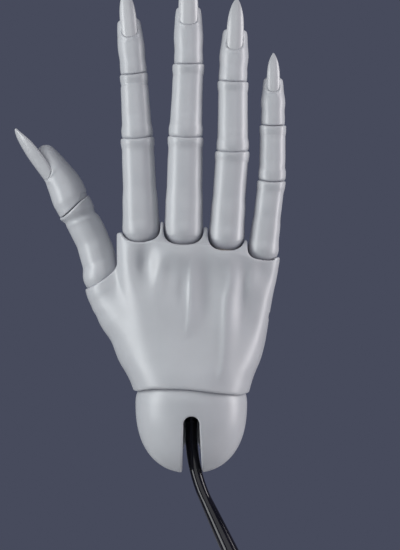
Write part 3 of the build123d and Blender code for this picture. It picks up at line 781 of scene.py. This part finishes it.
# ---------------------------------------------------------------- wrist ball
def wrist_field(p):
    """The wrist ball: a blunt-bottomed egg with the eye's chamber, the rod's slot and the cords' opening."""
    x, y, z = p.T
    low = z < 0
    height = np.where(low, BALL_LOW, BALL_HIGH)
    section = np.hypot(x / BALL_X, y / BALL_Y)
    blunt = np.where(low, BALL_BLUNT, 2.0)
    rho = (section**blunt + np.abs(z / height) ** blunt) ** (1 / blunt)
    f = (rho - 1) * BALL_Y
    inner_x, inner_y, inner_z = BALL_X - BALL_WALL, BALL_Y - BALL_WALL, height - BALL_WALL
    inner = np.sqrt((x / inner_x) ** 2 + (y / inner_y) ** 2 + (z / inner_z) ** 2)
    chamber = smax((inner - 1) * inner_y, np.abs(x) - CHAMBER_HALF, 0.8)
    chamber = smax(chamber, CHAMBER_LOW_Z - z, 0.8)
    f = smax(f, -chamber, 0.6)
    lower = np.clip((-10.5 - z) / 22.5, 0, 1.2)
    half = SLOT_HALF + np.where(x < SLOT_X, 0.65, 1.2) * lower
    for top, y_from, y_to in ((SLOT_BACK_Z, -40, SLOT_INNER_Y), (SLOT_PALM_Z, 0.0, 40)):
        centre = top - SLOT_HALF
        above = np.hypot(x - SLOT_X, np.maximum(z - centre, 0)) - SLOT_HALF
        cut = np.where(z > centre, above, np.abs(x - SLOT_X) - half)
        cut = smax(cut, smax(y - y_to, y_from - y, 0.3), 0.3)
        f = smax(f, -cut, 0.9)
    return smax(f, -smax(np.hypot(x, y) - 10.5, 11 - z, 0.5), 0.8)


# ---------------------------------------------------------------- rod, cords
def swept(name, points, radii, material, slot, sides):
    """A round bar through points with a radius at each, closed at both ends."""
    points = np.array(points, float)
    tangents = np.gradient(points, axis=0)
    tangents /= np.linalg.norm(tangents, axis=1)[:, None]
    side = np.cross(tangents[0], (0.3, 1, 0.2))
    verts = []
    for point, tangent, radius in zip(points, tangents, radii):
        side = side - tangent * (side @ tangent)
        side /= np.linalg.norm(side)
        other = np.cross(tangent, side)
        for step in range(sides):
            angle = 2 * pi * step / sides
            verts.append(point + radius * (side * cos(angle) + other * sin(angle)))
    faces = []
    for ring in range(len(points) - 1):
        for step in range(sides):
            a, b = ring * sides + step, ring * sides + (step + 1) % sides
            faces.append([a, b, b + sides, a + sides])
    faces.append(list(range(sides))[::-1])
    faces.append([len(verts) - sides + step for step in range(sides)])
    return make_object(name, np.array(verts), faces, material, slot)


def rod_points():
    """The rod's centre line and radius, from inside the eye to the end of the shank."""
    side = radians(ROD_BEND_SIDE)
    across, down = np.array((sin(side), -cos(side), 0)), np.array((0, 0, -1.0))
    points, radii = [], []
    for s in np.linspace(3.4, ROD_STRAIGHT, 8):
        points.append(down * s)
        radii.append(ROD_R + 0.5 * (1 - ramp(s, 3.4, 7.5)))
    for a in np.linspace(0, radians(ROD_BEND), 40)[1:]:
        points.append(down * (ROD_STRAIGHT + ROD_BEND_R * sin(a)) + across * ROD_BEND_R * (1 - cos(a)))
        radii.append(ROD_R)
    last = radians(ROD_BEND)
    heading = down * cos(last) + across * sin(last)
    start = points[-1]
    for s in np.linspace(0, ROD_TAPER_L, 40)[1:]:
        points.append(start + heading * s)
        radii.append(ROD_R + (SHANK_R - ROD_R) * (s / ROD_TAPER_L) ** 0.85)
    for s in (0.6, 8, 16, 24, SHANK_L - 0.8, SHANK_L - 0.5, SHANK_L - 0.2, SHANK_L - 0.03, SHANK_L):
        over = max(s - SHANK_L + 0.8, 0) / 0.8
        points.append(start + heading * (ROD_TAPER_L + s))
        radii.append(SHANK_R - 0.8 * (1 - (1 - over**2) ** 0.5))
    return points, radii


def eye_field(p):
    """The forged eye at the rod's end, rounded over and run out into the neck."""
    x, y, z = p.T
    disc = smax(np.hypot(y, z) - EYE_R, np.abs(x) - EYE_HALF, 1.4)
    neck = smax(np.hypot(x, y) - ROD_R - 0.02, smax(z, -z - 9.0, 0.3), 0.3)
    f = smin(disc, neck, 2.2)
    return smax(f, -(np.hypot(y, z) - PIVOT_R - 0.06), 0.5)


def line_points(a, b, steps):
    return [np.array(a) + (np.array(b) - np.array(a)) * t for t in np.linspace(0, 1, steps)]


def closed_tube(name, path, sideways, radius, sides):
    """A round elastic along a closed flat path. sideways is square to the path's plane."""
    path, sideways = np.array(path), np.array(sideways, float)
    ahead = np.roll(path, -1, 0) - np.roll(path, 1, 0)
    ahead /= np.linalg.norm(ahead, axis=1)[:, None]
    verts, faces = [], []
    for point, heading in zip(path, ahead):
        out = np.cross(heading, sideways)
        for step in range(sides):
            angle = 2 * pi * step / sides
            verts.append(point + radius * (sideways * cos(angle) + out * sin(angle)))
    count = len(path)
    for i in range(count):
        for step in range(sides):
            a, b = i * sides + step, i * sides + (step + 1) % sides
            c, d = (i + 1) % count * sides + (step + 1) % sides, (i + 1) % count * sides + step
            faces.append([a, b, c, d])
    return make_object(name, np.array(verts), faces, ELASTIC, "elastic")


def knot_field(p):
    swirl = 0.35 * np.sin(3 * np.arctan2(p[:, 1], p[:, 0]) + 1.6 * p[:, 2])
    return ball_field(p, 2.45) - swirl * 0.5


# ---------------------------------------------------------------- building
frames = {name: digit_frames(centre, roll, segments) for name, centre, roll, segments, _ in DIGITS}
GRID = 0.42
PALM_GRID = 0.5
BALL_GRID = 0.5
BODY_WORDS = {2: ("first", "last"), 3: ("first", "second", "last")}
NODE_WORDS = {2: ("proximal", "distal"), 3: ("proximal", "medial", "distal")}


def add_segments(name, segments, nail, placed, bodies):
    """A digit's resin segments and its nail."""
    thumb = name == "thumb"
    shape, notches = (THUMB_RIM, THUMB_NOTCHES) if thumb else (FINGER_RIM, FINGER_NOTCHES)
    nodes = [f"{name}_{word}" for word in NODE_WORDS[len(segments)]]
    for i, segment in enumerate(segments):
        reach = 1.3 * max(segment[3:]) + 1.5
        low, high = (-reach, -reach, -segment[3] - 2), (reach, reach, segment[2] + 2)
        notch = notches[min(i, 1)]
        below = None if i == 0 else segments[i - 1][6]
        if i < len(segments) - 1:
            relative = np.linalg.inv(placed[i]) @ placed[i + 1]
            field = link_field(segment, segments[i + 1], relative, notch, below, shape, thumb and i == 0)
        else:
            field = tip_field(segment, nail, notch, below, shape)
        place = placed[i], RESIN, "resin", bodies[i], nodes[i]
        solid(f"{nodes[i]}_resin", field, low, high, GRID, *place)
    end = segments[-1][6]
    start, length, width = nail
    low, high = (-width - 1.5, -1.9 * end, start - 1.5), (width + 1.5, end + 2, start + length + 1.5)
    place = placed[-1], NAIL, "nail", bodies[-1], f"{name}_nail"
    solid(f"{name}_nail_shell", nail_field(nail, end), low, high, GRID * 0.6, *place)


def add_cord(name, segments, placed, bodies):
    """A digit's elastic: a knot in the palm, a straight stretch to each ball, a ring round the pin."""
    seat = segments[0][3] + CORD_SEAT
    knot = at(placed[0], 0, 0, -seat - KNOT_DROP)
    points = [knot, *[m[:3, 3] for m in placed]]
    points.append(at(placed[-1], 0, 0, ANCHOR_Z - ANCHOR_R - CORD_R - 1.2))
    # Each stretch goes with its own segment.
    riders = ["palm", *bodies]
    for i, (a, b) in enumerate(zip(points, points[1:])):
        cord = swept(f"{name}_cord_{i}", line_points(a, b, 12), [CORD_R] * 12, ELASTIC, "elastic", 20)
        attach(cord, riders[i])
        if i == 0:
            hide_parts(f"{name}_cord")
    place = move(*knot), ELASTIC, "elastic", "palm", None
    solid(f"{name}_knot", knot_field, (-3.4,) * 3, (3.4,) * 3, 0.4, *place)
    ring_r = ANCHOR_R + CORD_R + LOOP_GAP
    angles = np.linspace(0, 2 * pi, 37)[:-1]
    ring = [at(placed[-1], 0, ring_r * cos(a), ANCHOR_Z + ring_r * sin(a)) for a in angles]
    loop = closed_tube(f"{name}_cord_loop", ring, placed[-1][:3, 0], CORD_R, 16)
    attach(loop, f"{name}_last")


def add_wrist_loop(name, x):
    """An elastic loop round the palm's bar and the wrist pin, running straight between them."""
    turn_r = BAR_R + WRIST_CORD_R + LOOP_GAP
    path = [(x, turn_r * cos(a), BAR_Z + turn_r * sin(a)) for a in np.linspace(0, pi, 17)]
    path += line_points((x, -turn_r, BAR_Z), (x, -turn_r, 0), 14)[1:]
    path += [(x, turn_r * cos(a), turn_r * sin(a)) for a in np.linspace(pi, 2 * pi, 17)[1:]]
    path += line_points((x, turn_r, 0), (x, turn_r, BAR_Z), 14)[1:-1]
    elastic = closed_tube(f"wrist_elastic_{name}", path, (1, 0, 0), WRIST_CORD_R, 18)
    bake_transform(elastic)
    if name == "left":
        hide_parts("wrist_elastic")


for name, _, _, segments, nail in DIGITS:
    bodies = [f"{name}_{word}" for word in BODY_WORDS[len(segments)]]
    add_segments(name, segments, nail, frames[name], bodies)
    add_cord(name, segments, frames[name], bodies)

place = np.eye(4), RESIN, "resin", "palm", "palm_shell"
solid("palm_resin", palm_field(frames), (-56, -23, 2), (45, 24, 88), PALM_GRID, *place)
place = np.eye(4), RESIN, "resin", "ball", "wrist_ball"
solid("wrist_ball_resin", wrist_field, (-28, -21, -35), (28, 21, 21), BALL_GRID, *place)

points, radii = rod_points()
rod = swept("rod_bar", points, radii, ROD, "rod", 64)
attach(rod, "rod")
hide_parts("stand_rod")
solid("rod_eye", eye_field, (-5, -7, -11), (5, 7, 7), 0.35, np.eye(4), ROD, "rod", "rod", None)

add_wrist_loop("left", -WRIST_LOOP_X)
add_wrist_loop("right", WRIST_LOOP_X)

# ---------------------------------------------------------------- CAD nodes that stay in view
slot_material = {
    "steel": STEEL, "liner": SUEDE, "resin": RESIN,
    "elastic": ELASTIC, "rod": ROD, "nail": NAIL,
}
for part in frame["record"]["subparts"]:
    node = frame["nodes"][part["node"]]
    node.data.materials.clear()
    node.data.materials.append(slot_material[part["material_slot"]])

# ---------------------------------------------------------------- floor, light and camera
low, high = (np.array(corner) for corner in CAD_BOX)


def floor_disc():
    material, nodes, links, principled = shader("floor", Roughness=0.7, Specular_IOR_Level=0.2)
    grain = noise(nodes, links, 30, 3)
    colour = graded(nodes, links, grain.outputs["Fac"], [(0.3, grey(0.60)), (0.7, grey(0.64))])
    links.new(colour.outputs["Color"], principled.inputs["Base Color"])
    radius, z = 0.31, low[2] - 0.012
    centre = (low + high) / 2
    angles = np.linspace(0, 2 * pi, 97)[:-1]
    verts = [(centre[0] + radius * cos(a), centre[1] + radius * sin(a), z) for a in angles]
    mesh = bpy.data.meshes.new("floor")
    mesh.from_pydata(verts, [], [list(range(96))])
    mesh.materials.append(material)
    obj = bpy.data.objects.new("floor", mesh)
    bpy.context.scene.collection.objects.link(obj)


floor_disc()

scene = bpy.context.scene
world = bpy.data.worlds.new("studio")
world.use_nodes = True
background = world.node_tree.nodes["Background"]
background.inputs["Color"].default_value = (0.063, 0.070, 0.107, 1)
background.inputs["Strength"].default_value = 1.0
scene.world = world
scene.view_settings.view_transform = "Standard"

WRIST_M = Vector(WRIST / 1000)


def area(name, where, aim, width, height, power, colour=(1, 1, 1)):
    light = bpy.data.lights.new(name, "AREA")
    light.shape = "RECTANGLE"
    light.size, light.size_y, light.energy, light.color = width, height, power, colour
    obj = bpy.data.objects.new(name, light)
    obj.location = WRIST_M + Vector(where)
    direction = Vector(aim) - Vector(where)
    obj.rotation_euler = direction.to_track_quat("-Z", "Y").to_euler()
    obj.visible_camera = False
    scene.collection.objects.link(obj)
    return obj


MIDDLE = (0.0, 0.0, 0.09)
area("front", (-0.15, -1.05, 0.70), MIDDLE, 1.2, 1.0, 4.2, (0.99, 1.0, 1.0))
area("left_soft", (-0.68, -0.32, 0.24), MIDDLE, 0.32, 0.8, 4.3, (0.97, 1.0, 1.0))
area("right_soft", (0.72, -0.10, 0.22), MIDDLE, 0.24, 0.8, 4.2, (1.0, 0.97, 0.99))

camera_data = bpy.data.cameras.new("camera")
camera = bpy.data.objects.new("camera", camera_data)
scene.collection.objects.link(camera)
DISTANCE, VIEW_HEIGHT = 0.8, 0.2585
camera_data.sensor_fit = "AUTO"
camera_data.sensor_width = 36
camera_data.lens = 36 * DISTANCE / VIEW_HEIGHT
camera_data.clip_start, camera_data.clip_end = 0.01, 20
camera.location = WRIST_M + Vector((0.0041, -DISTANCE, 0.0599))
camera.rotation_euler = (pi / 2, 0, 0)
scene.camera = camera
